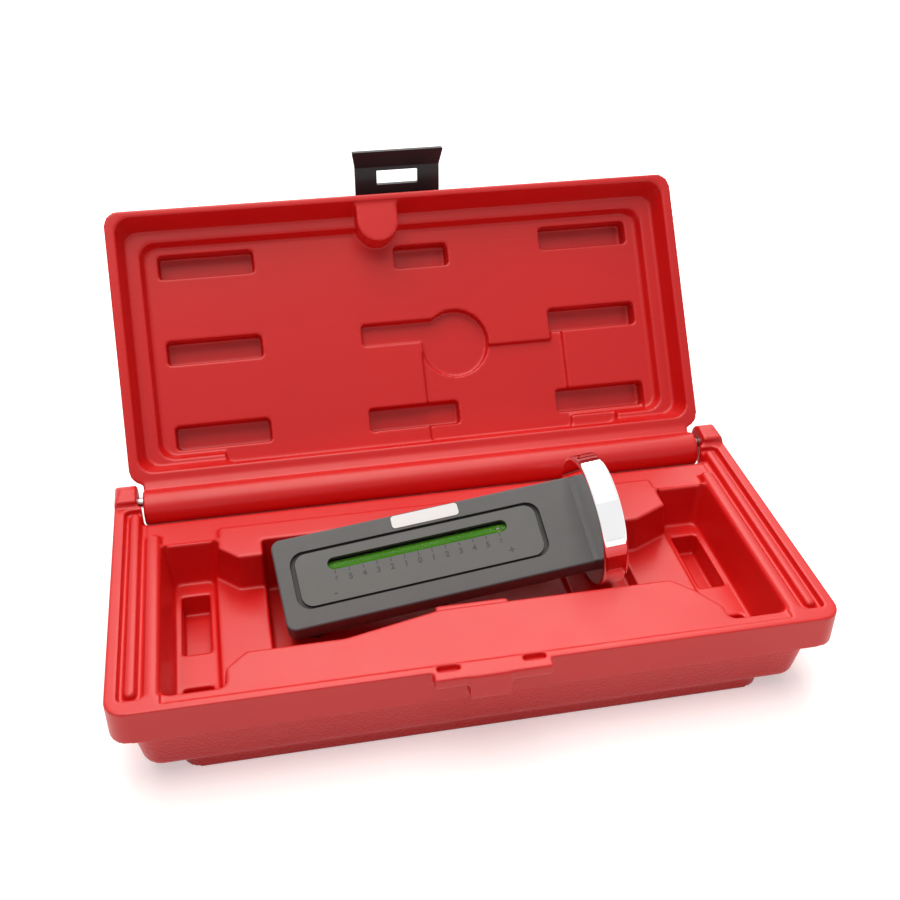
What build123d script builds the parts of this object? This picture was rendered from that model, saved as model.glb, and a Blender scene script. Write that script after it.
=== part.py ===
from build123d import *
import math
import os

# A magnetic camber gauge lying in its open, blow-moulded carrying case.
# Millimetres. The origin is the middle of the case's underside, +X runs along the case,
# +Y points from the front to the hinge and +Z is up.

os.makedirs("parts", exist_ok=True)

# case base
CASE_DEPTH = 108.0
RIM_HEIGHT = 38.0
CORNER_R = 7.0
WALL = 2.0
FLANGE_HEIGHT = 13.0
FLANGE_STEP = 5.0
SIDE_DRAFT = 3.0
FOOT_HEIGHT = 4.0
FOOT_INSET_X = 20.0
FOOT_INSET_Y = 9.5
UNDER_R = 4.0
RIM_R = 1.0
SHELF_DROP = 1.0
BACK_BAND_DROP = 3.0
FRONT_BAND = 3.0

# hinge
AXIS_OUT = 6.7
AXIS_DROP = 3.3
ROLL_R = 6.9
ROLL_OUT = 2.4
TROUGH_DEPTH = 8.5
TROUGH_DROP = 5.0
TROUGH_FALL = 1.5
BARREL_GAP = 2.0
EAR_R = 6.8
EAR_WIDTH = 8.5
EAR_TOP_SLOPE = 0.8
EAR_HEEL = 4.8
EAR_TOP_R = 3.0
HINGE_GAP = 0.4
PIN_R = 2.0
PIN_LENGTH = 14.0
PIN_FIT = 0.05
OPEN_ANGLE = 126.5

# side recesses of the base
SIDE_TOP_OUT = 17.0
SIDE_TOP_WIDTH = 21.0
SIDE_FRONT_EDGE = 7.0
SIDE_BACK_EDGE = 23.5
SIDE_FLOOR_DROP = 19.0
SIDE_SLOPE = 3.0
WELL_WIDTH = 10.0
WELL_DROP = 9.0
RECESS_R = 3.0

# rim bead and roll on the left and right
BAND = 4.0
GROOVE_DROP = 2.5
BEAD_WIDTH = 3.8
GROOVE_WIDTH = 2.0
GROOVE_FRONT_EDGE = 6.0
BEAD_R = 1.7
BEAD_TOP_R = 1.3
ROLL_BACK_EDGE = 17.5
ROLL_END_R = 2.2
ROLL_TOP_R = 1.8
BAND_KEEP = 12.0

# gauge pocket of the base
POCKET_SPARE = 21.0
POCKET_OFF_X = 1.25
END_STEP = 16.75
STEP_DROP = 16.0
FOOT_GAP = 0.1
FOOT_BACK_GAP = 0.6
RING_GAP = 0.35
RING_SIDE_GAP = 2.0
RING_SLOT_LEFT = 5.6
SHELF_FRONT_LEFT = 31.7
SHELF_FRONT_RIGHT = 23.5
SHELF_BACK_LEFT = 17.5
SHELF_BACK_RIGHT = 12.2
SHELF_CHAMFER = 6.5
SHELF_BEND_LEFT = 45.0
SHELF_BEND_RIGHT = 11.0
SADDLE_LEFT = 12.0
SADDLE_RIGHT = 14.0
SADDLE_BACK = 16.5
SADDLE_DROP = 5.8
BLOW_HOLE_R = 0.7
BLOW_HOLE_INSET = 7.0
BLOW_HOLE_OFF_X = 2.5

# latch keeper on the front of the base
KEEPER_WIDTH = 39.0
KEEPER_OUT = 4.0
KEEPER_THICK = 4.0
NOTCH_WIDTH = 7.5
NOTCH_DEPTH = 2.5
NOTCH_INSET = 1.5
NOTCH_DROP = 2.5
BOSS_WIDTH = 13.6
BOSS_OFF_X = 1.2
BOSS_OUT = 0.3
BOSS_TOP_DROP = 0.5
BOSS_HEIGHT = 9.5

# lid
LID_INSET = 5.5
LID_HEIGHT = 23.0
LID_DRAFT = 3.0
LID_TOP_R = 5.0
LID_CORNER_R = 6.0
LID_BAND = 3.9
LID_FREE_BAND = 2.6
HINGE_BAND = 4.5
LEDGE_DROP = 9.0
LEDGE_SLOPE = 2.5
LEDGE_FREE_SLOPE = 4.4
LEDGE_WIDTH = 5.2
LEDGE_FREE_WIDTH = 4.4
LEDGE_HINGE_WIDTH = 2.2
PANEL_DROP = 13.0
PANEL_SLOPE = 1.6
HINGE_STEP = 1.2
WEB_LEAN = 30.0
LEDGE_TURN_LEFT = 37.5
LEDGE_TURN_RIGHT = 31.5
KISS_DROP = 7.5
KISS_LENGTH = 38.0
KISS_WIDTH = 9.6
KISS_SMALL_LENGTH = 22.5
CHANNEL_DROP = 1.8
ARM_DROP = 4.5
CIRCLE_R = 14.0
BOSS_D_R = 8.4
WEB_HEIGHT = 9.0
EAR_NOTCH_GAP = 1.0

# latch
LATCH_WIDTH = 35.0
LATCH_OFF_X = 2.0
LATCH_FLARE = 1.2
LATCH_REACH = 22.0
LATCH_REST = 35.0
LATCH_PLATE = 2.2
LATCH_OFFSET = 3.8
LATCH_NECK = 1.9
LATCH_KNUCKLE_R = 2.2
LATCH_PIVOT_IN = 1.9
LATCH_PIVOT_UP = 9.5
LATCH_PIN_R = 1.2
LATCH_PIN_SEAT = 1.4
LATCH_GAP = 0.4
WINDOW_WIDTH = 17.0
WINDOW_HEIGHT = 6.0
WINDOW_FROM_TIP = 9.0
FOLD_LENGTH = 7.5
FOLD_DROP = 3.0
NOTCH_HEIGHT = 10.5

# gauge body, in its own frame: x along the body with zero on the magnet's inner face,
# y across the face and z up through the face
BODY_LENGTH = 113.5
BODY_WIDTH = 34.7
BODY_THICK = 10.0
FACE_HEIGHT = 3.4
BODY_R = 3.5
BODY_EDGE_R = 0.8
SHELL_WALL = 2.0
FACE_WALL = 1.8
END_CAP_LENGTH = 1.0
TENON_LENGTH = 6.0
TENON_FIT = 0.05
PANEL_TO_RING = 17.0
FACE_SPARE = 14.9
PANEL_R = 4.2
PANEL_GAP_END = 1.9
PANEL_GAP_SIDE = 1.0
PANEL_THICK = 2.0
PANEL_FROM_END = 7.2
PANEL_SINK = 0.3
PANEL_OFF_Y = 0.15
SLOT_INSET = 11.3
SLOT_WIDTH = 4.6
SLOT_R = 2.28
SLOT_EDGE = 5.85
BADGE_LENGTH = 25.0
BADGE_WIDTH = 4.8
BADGE_THICK = 0.5
BADGE_R = 1.2
BADGE_OFF_X = 5.0
BADGE_EDGE = 0.6

# vial
VIAL_R = 3.0
VIAL_WALL = 0.5
VIAL_TAIL = 3.65
VIAL_PLUG_LENGTH = 2.5
VIAL_FIT = 0.05
BUBBLE_R = 2.0
BUBBLE_END_R = 1.8
BUBBLE_LENGTH = 5.2
BUBBLE_GAP = 0.15
CRADLE_WALL = 1.0
CRADLE_WIDTH = 10.0
PAD_THICK = 2.0

# back cover and fixings
COVER_THICK = 1.6
COVER_GAP = 0.1
SCREW_R = 1.0
SCREW_HEAD_R = 1.9
SCREW_HEAD_THICK = 1.0
SCREW_LENGTH = 5.0
SCREW_INSET = 7.0
POST_R = 2.4
SCREW_FIT = 0.05
FOOT_LENGTH = 7.0
FOOT_DEPTH = 4.0
FOOT_FROM_END = 6.0
FOOT_THICK = 1.8
FOOT_TOE = 4.3

# magnet
RING_R = 24.5
RING_THICK = 9.3
CUP_WALL = 2.0
CUP_EDGE_R = 1.2
MAGNET_GAP = 0.3
MAGNET_THICK = 6.0
POLE_R = 9.5
POLE_RECESS = 0.4
MAGNET_SCREW_R = 1.25
MAGNET_SCREW_HEAD_R = 2.6
MAGNET_SCREW_HEAD = 1.6
MAGNET_SCREW_GRIP = 5.0
WASHER_R = 3.4
WASHER_THICK = 0.6

# where the gauge lies in the case: the magnet's inner face centre and three turns
RING_ROOM = 17.4
GAUGE_Y = 10.0
GAUGE_RISE = 2.65
GAUGE_TILT = 30.4
GAUGE_PITCH = -5.4
GAUGE_YAW = 2.6

OVERRUN = 2.0

POCKET_LENGTH = BODY_LENGTH + POCKET_SPARE
POCKET_RIGHT = POCKET_LENGTH / 2 - POCKET_OFF_X
POCKET_LEFT = POCKET_LENGTH - POCKET_RIGHT
CASE_LENGTH = POCKET_LENGTH + 2 * (END_STEP + SIDE_TOP_WIDTH + SIDE_TOP_OUT)
LID_LENGTH = CASE_LENGTH - 2 * LID_INSET
BARREL_LENGTH = CASE_LENGTH - 2 * (EAR_WIDTH + BARREL_GAP)
PANEL_LENGTH = BODY_LENGTH - PANEL_FROM_END - PANEL_TO_RING
PANEL_WIDTH = BODY_WIDTH - FACE_SPARE
SLOT_OFF_Y = PANEL_WIDTH / 2 - SLOT_EDGE
SLOT_LENGTH = PANEL_LENGTH - 2 * SLOT_INSET
GAUGE_X = POCKET_RIGHT - RING_ROOM
RING_SLOT_BACK = GAUGE_Y + RING_R + RING_SIDE_GAP

RIM = RIM_HEIGHT
FRONT = -CASE_DEPTH / 2
BACK = CASE_DEPTH / 2
AXIS_Y = BACK + AXIS_OUT
AXIS_Z = RIM - AXIS_DROP


def block(x0, x1, y0, y1, z0, z1, r=0.0):
    """A box between two corners, its upright edges rounded by r."""
    width, depth = x1 - x0, y1 - y0
    outline = RectangleRounded(width, depth, r) if r > 0 else Rectangle(width, depth)
    solid = extrude(outline, z1 - z0)
    return Pos((x0 + x1) / 2, (y0 + y1) / 2, z0) * solid


def tapered(length, depth, z0, z1, inset, r):
    """A rounded block that is narrower by inset on every side at z0."""
    top = Pos(0, 0, z1) * RectangleRounded(length, depth, r)
    low = Pos(0, 0, z0) * RectangleRounded(length - 2 * inset, depth - 2 * inset, r)
    return loft([low, top], ruled=True)


def along_x(radius, x0, x1, y, z):
    """A round bar along X."""
    return Pos((x0 + x1) / 2, y, z) * Rot(0, 90, 0) * Cylinder(radius, x1 - x0)


def prism_x(points, x0, x1):
    """A profile in the Y-Z plane, drawn out along X."""
    face = make_face(Polyline([(0, y, z) for y, z in points], close=True))
    return Pos(x0, 0, 0) * extrude(face, x1 - x0, dir=(1, 0, 0))


def plan(points, grow, r, z0, z1):
    """An outline seen from above, pushed outward by grow or with its corners rounded by r."""
    face = make_face(Polyline([(x, y) for x, y in points], close=True))
    face = offset(face, amount=grow, kind=Kind.INTERSECTION) if grow > 0 else fillet(face.vertices(), r)
    return Pos(0, 0, z0) * extrude(face, z1 - z0)


def one_solid(shape):
    """The single solid of a result."""
    solids = shape.solids()
    return max(solids, key=lambda s: s.volume)


def save(shape, name):
    shape.label = name
    export_step(shape, "parts/" + name + ".step")


# case base

def base_outer(inset):
    """The outside of the base, all faces moved inward by inset."""
    length, depth = CASE_LENGTH - 2 * inset, CASE_DEPTH - 2 * inset
    flange_low = RIM - FLANGE_HEIGHT + inset
    flange = block(-length / 2, length / 2, -depth / 2, depth / 2, flange_low, RIM - inset, CORNER_R)
    low_length, low_depth = length - 2 * FLANGE_STEP, depth - 2 * FLANGE_STEP
    low = tapered(low_length, low_depth, FOOT_HEIGHT + inset, flange_low + inset, SIDE_DRAFT, CORNER_R)
    if inset == 0:
        low = fillet(low.faces().sort_by(Axis.Z)[0].edges(), UNDER_R)
    foot_x, foot_y = length / 2 - FOOT_INSET_X, depth / 2 - FOOT_INSET_Y
    foot = block(-foot_x, foot_x, -foot_y, foot_y, inset, FOOT_HEIGHT + WALL + inset, CORNER_R)
    return flange + low + foot


def side_recess(side, grow):
    """The deep recess at one end, with its two floor wells."""
    outer = CASE_LENGTH / 2 - SIDE_TOP_OUT + grow
    inner = CASE_LENGTH / 2 - SIDE_TOP_OUT - SIDE_TOP_WIDTH - grow
    front, back = FRONT + SIDE_FRONT_EDGE - grow, BACK - SIDE_BACK_EDGE + grow
    floor = RIM - SIDE_FLOOR_DROP - grow
    mid_x, mid_y = (outer + inner) / 2, (front + back) / 2
    width, depth = outer - inner, back - front
    low = Pos(side * mid_x, mid_y, floor) * RectangleRounded(width - 2 * SIDE_SLOPE, depth - 2 * SIDE_SLOPE, RECESS_R)
    top = Pos(side * mid_x, mid_y, RIM) * RectangleRounded(width, depth, RECESS_R)
    lid = Pos(side * mid_x, mid_y, RIM + OVERRUN) * RectangleRounded(width, depth, RECESS_R)
    pit = loft([low, top], ruled=True) + loft([top, lid], ruled=True)
    half = WELL_WIDTH / 2 + grow
    well_low = floor - WELL_DROP
    for y0, y1 in well_spans():
        pit += Pos(side * mid_x, 0, 0) * block(-half, half, y0 - grow, y1 + grow, well_low, floor + SIDE_SLOPE)
    return pit


def well_spans():
    """The front and back ends of the two wells in a side recess."""
    front, back = FRONT + SIDE_FRONT_EDGE + SIDE_SLOPE, BACK - SIDE_BACK_EDGE - SIDE_SLOPE
    run = back - front
    front_share, gap_share, back_share = 0.24, 0.47, 0.9
    return [(front, front + run * front_share), (front + run * gap_share, front + run * back_share)]


def shelf_end():
    """Where the shelves meet the side recesses."""
    return CASE_LENGTH / 2 - SIDE_TOP_OUT - SIDE_TOP_WIDTH


def end_steps(grow):
    """The two lower levels between the gauge's pocket and the side recesses."""
    edge, bevel = shelf_end(), SHELF_CHAMFER
    far = edge + SIDE_SLOPE
    run = far - edge
    low, top = RIM - STEP_DROP - grow, RIM + OVERRUN
    left_x = -POCKET_LEFT + 2 * bevel
    left = [(-far, -SHELF_FRONT_LEFT - bevel - run), (-edge + bevel, -SHELF_FRONT_LEFT),
            (left_x, -SHELF_FRONT_LEFT), (left_x, SHELF_BACK_LEFT), (-edge + bevel, SHELF_BACK_LEFT),
            (-far, SHELF_BACK_LEFT + bevel + run)]
    steep_share, flat_share = 1.5, 0.5
    right = [(SADDLE_RIGHT, -SHELF_FRONT_RIGHT), (edge - 2 * bevel, -SHELF_FRONT_RIGHT),
             (edge - bevel, -SHELF_FRONT_RIGHT - bevel),
             (far, -SHELF_FRONT_RIGHT - bevel - steep_share * (bevel + run)),
             (far, SHELF_BACK_RIGHT + flat_share * (2 * bevel + run)), (edge - 2 * bevel, SHELF_BACK_RIGHT),
             (SADDLE_RIGHT, SHELF_BACK_RIGHT)]
    return [plan(outline, grow, RIM_R, low, top) for outline in (left, right)]


def foot_tip(side):
    """Where the tip of one of the gauge's feet lies in the case."""
    tip = Pos(-BODY_LENGTH + FOOT_FROM_END + FOOT_TOE, side * BODY_WIDTH / 2, BODY_LOW - FOOT_DEPTH)
    return (gauge_place() * tip).position


def pocket_floor():
    """The height of the pocket's floor, just under the tip of the gauge's front foot."""
    return foot_tip(-1).Z - FOOT_GAP


def gauge_pocket(grow):
    """The stepped pocket that the gauge lies in, open upward."""
    x0, x1 = -POCKET_LEFT, POCKET_RIGHT
    front_left, front_right = -SHELF_FRONT_LEFT, -SHELF_FRONT_RIGHT
    pocket_back = foot_tip(1).Y + FOOT_BACK_GAP
    bend_share = (SHELF_BEND_LEFT - SADDLE_LEFT) / (SHELF_BEND_LEFT - SHELF_BEND_RIGHT)
    bend_front = front_left + bend_share * (front_right - front_left)
    top = RIM + OVERRUN
    slot_x = GAUGE_X - RING_SLOT_LEFT
    deep = [(x0, front_left), (-SHELF_BEND_LEFT, front_left), (-SADDLE_LEFT, bend_front),
            (-SADDLE_LEFT, -SADDLE_BACK), (SADDLE_RIGHT, -SADDLE_BACK), (SADDLE_RIGHT, front_right),
            (slot_x, front_right), (slot_x, pocket_back), (x0, pocket_back)]
    saddle = [(x0, front_left), (-SHELF_BEND_LEFT, front_left), (-SHELF_BEND_RIGHT, front_right),
              (x1, front_right), (x1, pocket_back), (x0, pocket_back)]
    slot = [(slot_x, front_right), (x1, front_right), (x1, RING_SLOT_BACK), (slot_x, RING_SLOT_BACK)]
    pocket = plan(deep, grow, RIM_R, pocket_floor() - grow, top)
    pocket += plan(saddle, grow, RIM_R, RIM - SADDLE_DROP - grow, top)
    pocket += plan(slot, grow, RIM_R, RIM + GAUGE_RISE - RING_R - RING_GAP - grow, top)
    for step in end_steps(grow):
        pocket += step
    return pocket


def base_levels(grow):
    """The sunk levels of the tray: the shelves, the back band and the rim grooves."""
    half = CASE_LENGTH / 2
    top = RIM + OVERRUN
    shelf_x = half - SIDE_TOP_OUT + grow
    shelf = block(-shelf_x, shelf_x, FRONT + FRONT_BAND - grow, BACK + OVERRUN, RIM - SHELF_DROP - grow, top)
    band = block(-shelf_x, shelf_x, BACK - SIDE_BACK_EDGE - grow, BACK + OVERRUN, RIM - BACK_BAND_DROP - grow, top)
    inner = shelf_end()
    band -= block(-inner + grow, inner - grow, FRONT, BACK - BAND_KEEP - grow, 0, top + OVERRUN, RECESS_R)
    ends_x = groove_span()[1] + grow
    ends = block(-ends_x, ends_x, BACK - ROLL_BACK_EDGE - grow, BACK + OVERRUN, RIM - BACK_BAND_DROP - grow, top)
    return shelf + band + ends


def groove_span():
    """The outer and inner limits of the grooves, measured from the middle."""
    outer = CASE_LENGTH / 2 - BAND
    return outer, outer - 2 * GROOVE_WIDTH - BEAD_WIDTH


def soft_top(solid, r):
    """Rounds a block's top edges."""
    return fillet(solid.faces().sort_by(Axis.Z)[-1].edges(), r)


def rim_grooves():
    """The cuts that leave a rounded bead and a rounded roll along each end's rim."""
    outer, inner = groove_span()
    roll_in = CASE_LENGTH / 2 - SIDE_TOP_OUT
    front, back, roll_back = FRONT + GROOVE_FRONT_EDGE, BACK - GROOVE_WIDTH, BACK - ROLL_BACK_EDGE
    low, top = RIM - GROOVE_DROP, RIM + OVERRUN
    cuts = []
    for side in (-1, 1):
        x0, x1 = sorted((side * outer, side * inner))
        ring = block(x0, x1, front, back, low, top, GROOVE_WIDTH)
        bead = block(x0 + GROOVE_WIDTH, x1 - GROOVE_WIDTH, front + GROOVE_WIDTH, back - GROOVE_WIDTH,
                     low - WALL, RIM, BEAD_R)
        cuts.append(ring - soft_top(bead, BEAD_TOP_R))
        x0, x1 = sorted((side * inner, side * roll_in))
        roll = block(x0, x1, FRONT, roll_back, low - WALL, RIM, ROLL_END_R)
        over = block(x0, x1, FRONT + SIDE_FRONT_EDGE, roll_back, RIM - ROLL_TOP_R, top)
        cuts.append(over - soft_top(roll, ROLL_TOP_R))
    return cuts


def groove_walls():
    """What the hollow leaves solid under the grooves."""
    inner = groove_span()[1] - 2 * WALL
    spans = [sorted((side * inner, side * CASE_LENGTH / 2)) for side in (-1, 1)]
    return [block(x0, x1, FRONT, BACK, RIM - GROOVE_DROP - WALL, RIM + OVERRUN) for x0, x1 in spans]


def ears():
    """The two hinge ears behind the back corners."""
    made = []
    for side in (-1, 1):
        x0, x1 = sorted((side * (CASE_LENGTH / 2 - EAR_WIDTH), side * CASE_LENGTH / 2))
        low = RIM - FLANGE_HEIGHT
        root = BACK - CORNER_R
        profile = [(root, low), (BACK, low), (AXIS_Y + EAR_HEEL, AXIS_Z - EAR_HEEL),
                   (AXIS_Y, AXIS_Z + EAR_R), (BACK, AXIS_Z + EAR_R - EAR_TOP_SLOPE), (BACK, RIM), (root, RIM)]
        ear = prism_x(profile, x0, x1) + along_x(EAR_R, x0, x1, AXIS_Y, AXIS_Z)
        room = block(x0, x1, root - OVERRUN, AXIS_Y + EAR_R, low - OVERRUN, AXIS_Z + EAR_R)
        corner = room.edges().filter_by(Axis.Y).sort_by(lambda edge: edge.center().Z + side * edge.center().X)[-1]
        made.append(ear & fillet(corner, EAR_TOP_R))
    return made


def keeper():
    """The lip on the front of the rim that the latch clips over, with the boss under it."""
    half = KEEPER_WIDTH / 2
    pad = block(-half, half, FRONT - KEEPER_OUT, FRONT + CORNER_R, RIM - KEEPER_THICK, RIM)
    x0 = -BOSS_OFF_X - BOSS_WIDTH / 2
    top = RIM - BOSS_TOP_DROP
    pad += block(x0, x0 + BOSS_WIDTH, FRONT - KEEPER_OUT - BOSS_OUT, FRONT + WALL / 2, top - BOSS_HEIGHT, top)
    return pad


def keeper_notches():
    """The two slots between the rim and the lip."""
    half = KEEPER_WIDTH / 2 - NOTCH_INSET
    spans = [sorted((side * half, side * (half - NOTCH_WIDTH))) for side in (-1, 1)]
    return [block(x0, x1, FRONT, FRONT + NOTCH_DEPTH, RIM - NOTCH_DROP, RIM + OVERRUN) for x0, x1 in spans]


def make_base():
    body = base_outer(0)
    for ear in ears():
        body += ear
    body += keeper()
    for notch in keeper_notches():
        body -= notch
    tray = base_levels(0)
    body -= tray
    for cut in rim_grooves():
        body -= cut
    for side in (-1, 1):
        body -= side_recess(side, 0)
    body -= gauge_pocket(0)
    hollow = base_outer(WALL) - base_levels(WALL) - gauge_pocket(WALL)
    for side in (-1, 1):
        hollow -= side_recess(side, WALL)
    for under in groove_walls():
        hollow -= under
    hollow -= hinge_room(HINGE_GAP + WALL, CASE_LENGTH)
    for piece in hollow.solids():
        body -= piece
    body -= hinge_room(HINGE_GAP, BARREL_LENGTH / 2 + HINGE_GAP)
    inner_ear = CASE_LENGTH / 2 - EAR_WIDTH
    for side in (-1, 1):
        x0, x1 = sorted((side * (inner_ear - OVERRUN), side * (CASE_LENGTH / 2 - WALL / 2)))
        body -= along_x(PIN_R + PIN_FIT, x0, x1, AXIS_Y, AXIS_Z)
    body -= Pos(-BLOW_HOLE_OFF_X, FRONT + BLOW_HOLE_INSET, RIM) * Cylinder(BLOW_HOLE_R, 2 * (WALL + SHELF_DROP) + OVERRUN)
    return one_solid(body)


def hinge_room(spare, half):
    """The trough behind the base that the lid's roll turns in, with spare room round the roll."""
    turn = math.radians(OPEN_ANGLE)
    roll_y, roll_z = AXIS_Y + ROLL_OUT * math.cos(turn), AXIS_Z - ROLL_OUT * math.sin(turn)
    edge_y, edge_z = BACK - TROUGH_DEPTH - spare, RIM - BACK_BAND_DROP - spare
    far_y, low_z = BACK + OVERRUN, edge_z - TROUGH_DROP
    trough = prism_x([(edge_y, RIM + OVERRUN), (edge_y, edge_z), (roll_y - ROLL_R, low_z),
                      (far_y, low_z - TROUGH_FALL), (far_y, RIM + OVERRUN)], -half, half)
    return trough + along_x(ROLL_R + spare, -half, half, roll_y, roll_z)


def hinge_pins():
    pins = []
    inner_ear = CASE_LENGTH / 2 - EAR_WIDTH
    for side in (-1, 1):
        outer = side * (CASE_LENGTH / 2 - WALL / 2 - PIN_FIT)
        inner = outer - side * PIN_LENGTH
        x0, x1 = sorted((inner, outer))
        pins.append(along_x(PIN_R, x0, x1, AXIS_Y, AXIS_Z))
    return Compound(children=[one_solid(p) for p in pins])


# lid, drawn shut and then turned open about the hinge axis

def lid_outer(inset):
    """The outside of the lid, all faces moved inward by inset."""
    length, depth = LID_LENGTH - 2 * inset, CASE_DEPTH - 2 * inset
    low = Pos(0, 0, RIM + inset) * RectangleRounded(length, depth, LID_CORNER_R)
    top = Pos(0, 0, RIM + LID_HEIGHT - inset) * RectangleRounded(length - 2 * LID_DRAFT, depth - 2 * LID_DRAFT,
                                                               LID_CORNER_R)
    shell = loft([low, top], ruled=True)
    if inset == 0:
        shell = fillet(shell.faces().sort_by(Axis.Z)[-1].edges(), LID_TOP_R)
    return shell


def lid_block(x0, x1, s0, s1, drop, grow, r):
    """A sunk rectangle of the lid, s measured from the hinge side to the free side."""
    return block(x0 - grow, x1 + grow, BACK - s1 - grow, BACK - s0 + grow, RIM - OVERRUN, RIM + drop + grow, r)


def lid_levels():
    """Half width, hinge side, free side and drop of the lid's opening, ledge and panel."""
    half, hinge, free = LID_LENGTH / 2 - LID_BAND, HINGE_BAND, CASE_DEPTH - LID_FREE_BAND
    mouth = (half, hinge, free, 0)
    half, hinge, free = half - LEDGE_SLOPE, hinge + LEDGE_SLOPE, free - LEDGE_FREE_SLOPE
    ledge = (half, hinge, free, LEDGE_DROP)
    half, hinge, free = half - LEDGE_WIDTH, hinge + LEDGE_HINGE_WIDTH, free - LEDGE_FREE_WIDTH
    rim = (half, hinge, free, LEDGE_DROP)
    panel = (half - PANEL_SLOPE, hinge + PANEL_SLOPE, free - PANEL_SLOPE, PANEL_DROP)
    return mouth, ledge, rim, panel


def lid_slope(first, last, grow, r):
    """A sunk rectangle of the lid that narrows from one level to the next."""
    faces = []
    for half, s0, s1, drop in (first, last):
        outline = RectangleRounded(2 * (half + grow), s1 - s0 + 2 * grow, r)
        faces.append(Pos(0, BACK - (s0 + s1) / 2, RIM + drop + grow) * outline)
    lift = RIM - OVERRUN - (RIM + first[3] + grow)
    return loft(faces, ruled=True) + extrude(faces[0], -lift, dir=(0, 0, -1))


def lid_pockets(grow):
    """Every sunk level on the lid's inner side."""
    half = LID_LENGTH / 2
    mouth, ledge, rim, panel = lid_levels()
    pockets = lid_slope(mouth, ledge, grow, LID_CORNER_R) + lid_slope(rim, panel, grow, LID_CORNER_R)
    turn_left, turn_right = -half + LEDGE_TURN_LEFT, half - LEDGE_TURN_RIGHT
    pockets += lid_block(turn_left, turn_right, HINGE_BAND + HINGE_STEP, HINGE_BAND + CORNER_R * 2, PANEL_DROP, grow,
                         RECESS_R)
    deep = PANEL_DROP + KISS_DROP
    for x_share, s_share, length in kiss_shares():
        x0, s0 = x_share * LID_LENGTH, s_share * CASE_DEPTH
        pockets += lid_block(x0, x0 + length, s0, s0 + KISS_WIDTH, deep, grow, RECESS_R / 2)
    for x_shares, s_shares, drop in channel_shares():
        x0, x1 = (share * LID_LENGTH for share in x_shares)
        s0, s1 = (share * CASE_DEPTH for share in s_shares)
        pockets += lid_block(x0, x1, s0, s1, PANEL_DROP + drop, grow, RECESS_R / 2)
    circle_x, circle_s = circle_centre()
    round_drop = PANEL_DROP + ARM_DROP
    pockets += Pos(circle_x, BACK - circle_s, RIM + round_drop / 2) * Cylinder(CIRCLE_R + grow, round_drop + 2 * grow)
    return pockets


def kiss_shares():
    """The near corners of the kiss-off recesses, as shares of the lid, with their lengths."""
    left_share, right_share = -0.4206, 0.2605
    columns = [(left_share, KISS_LENGTH), (right_share, KISS_LENGTH)]
    row_shares = (0.1176, 0.437, 0.761)
    rows = [(x, s, length) for s in row_shares for x, length in columns]
    return rows + [(-0.0837, 0.1139, KISS_LENGTH), (-0.0086, 0.7315, KISS_SMALL_LENGTH)]


def channel_shares():
    """The channel's rectangles: their x and s limits, as shares of the lid's size, and their drops."""
    return [((-0.0815, 0.065), (0.4426, 0.5259), ARM_DROP), ((0.0227, 0.2833), (0.0565, 0.4056), CHANNEL_DROP),
            ((0.2618, 0.2833), (0.36, 0.445), CHANNEL_DROP), ((0.28, 0.424), (0.1, 0.194), CHANNEL_DROP)]


def circle_centre():
    x_share, s_share = 0.0854, 0.4259
    return LID_LENGTH * x_share, CASE_DEPTH * s_share


def lid_boss():
    """The half-round boss under the latch."""
    x_share = -0.0369
    centre_s = CASE_DEPTH - LID_FREE_BAND - BOSS_D_R
    x = LID_LENGTH * x_share
    top, low = RIM + SHELF_DROP, RIM + PANEL_DROP + WALL / 2
    boss = Pos(x, BACK - centre_s, (top + low) / 2) * Cylinder(BOSS_D_R, low - top)
    return boss + block(x - BOSS_D_R, x + BOSS_D_R, FRONT + LID_FREE_BAND - WALL / 2, BACK - centre_s, top, low)


def latch_notch(grow):
    """The recess in the lid's front wall that the latch's knuckle turns in."""
    half = LATCH_WIDTH / 2 + LATCH_GAP + grow
    pivot_y, pivot_z = latch_pivot()
    reach = LATCH_KNUCKLE_R + LATCH_GAP + grow
    return block(LATCH_OFF_X - half, LATCH_OFF_X + half, FRONT - OVERRUN, pivot_y + reach, pivot_z - reach,
                 pivot_z - reach + NOTCH_HEIGHT + 2 * grow)


def make_lid():
    body = lid_outer(0)
    web_top = RIM + WEB_HEIGHT
    lean = math.radians(WEB_LEAN)
    half, roll_y = BARREL_LENGTH / 2, AXIS_Y + ROLL_OUT
    web = prism_x([(BACK - WALL, RIM), (BACK - WALL, web_top), (BACK, web_top),
                   (roll_y + ROLL_R * math.sin(lean), AXIS_Z + ROLL_R * math.cos(lean)),
                   (roll_y, AXIS_Z), (BACK - WALL / 2, RIM)], -half, half)
    body -= lid_pockets(0)
    body += lid_boss()
    solid_band = RIM + LEDGE_DROP + WALL + WALL / 2
    hollow = lid_outer(WALL) - lid_pockets(WALL) - latch_notch(WALL)
    hollow -= block(-LID_LENGTH, LID_LENGTH, -CASE_DEPTH, CASE_DEPTH, RIM - OVERRUN, solid_band)
    for piece in hollow.solids():
        body -= piece
    body -= latch_notch(0)
    body += web
    body += along_x(ROLL_R, -half, half, roll_y, AXIS_Z)
    for side in (-1, 1):
        x0, x1 = sorted((side * (half + HINGE_GAP), side * CASE_LENGTH))
        body -= along_x(EAR_R + EAR_NOTCH_GAP, x0, x1, AXIS_Y, AXIS_Z)
        deep = CASE_LENGTH / 2 - PIN_LENGTH - WALL
        x0, x1 = sorted((side * deep, side * CASE_LENGTH))
        body -= along_x(PIN_R + PIN_FIT, x0, x1, AXIS_Y, AXIS_Z)
    body -= latch_bar(LATCH_PIN_R + PIN_FIT, latch_pin_half() + PIN_FIT)
    return one_solid(body)


def latch_pivot():
    """Where the latch turns, seen along the case."""
    return FRONT + LATCH_PIVOT_IN, RIM + LATCH_PIVOT_UP


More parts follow.
